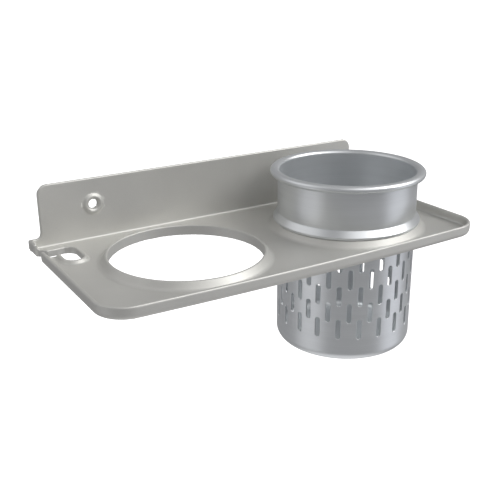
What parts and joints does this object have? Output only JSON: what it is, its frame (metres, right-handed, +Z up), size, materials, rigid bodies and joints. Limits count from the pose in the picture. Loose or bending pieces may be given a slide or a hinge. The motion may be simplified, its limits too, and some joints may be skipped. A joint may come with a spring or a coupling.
{
  "type": "wall-mounted hair dryer holder",
  "caption": "Wall-mounted pressed aluminium tray with a raised-lip hole for a hair dryer, a cord slot and a perforated lift-out cup for tools.",
  "frame": {"origin": "midway between the two screw holes, on the back face of the wall plate, which lies on the wall", "axes": "+X to the right along the wall, +Y into the wall, so the tray reaches out along -Y, +Z up"},
  "size_m": [0.23, 0.114, 0.1067],
  "materials": {
    "bracket_aluminium": "fine matt anodised, warm silver grey",
    "cup_aluminium": "satin anodised, cool silver, turned sheen around the wall"
  },
  "bodies": {
    "bracket_body": {"bracket": "bracket_aluminium"},
    "cup_body": {"cup": "cup_aluminium"}
  },
  "joints": [
    {"name": "cup_lift", "type": "slide", "parent": "bracket_body", "child": "cup_body", "axis": [0, 0, 1], "range_m": [0, 0.08]}
  ]
}
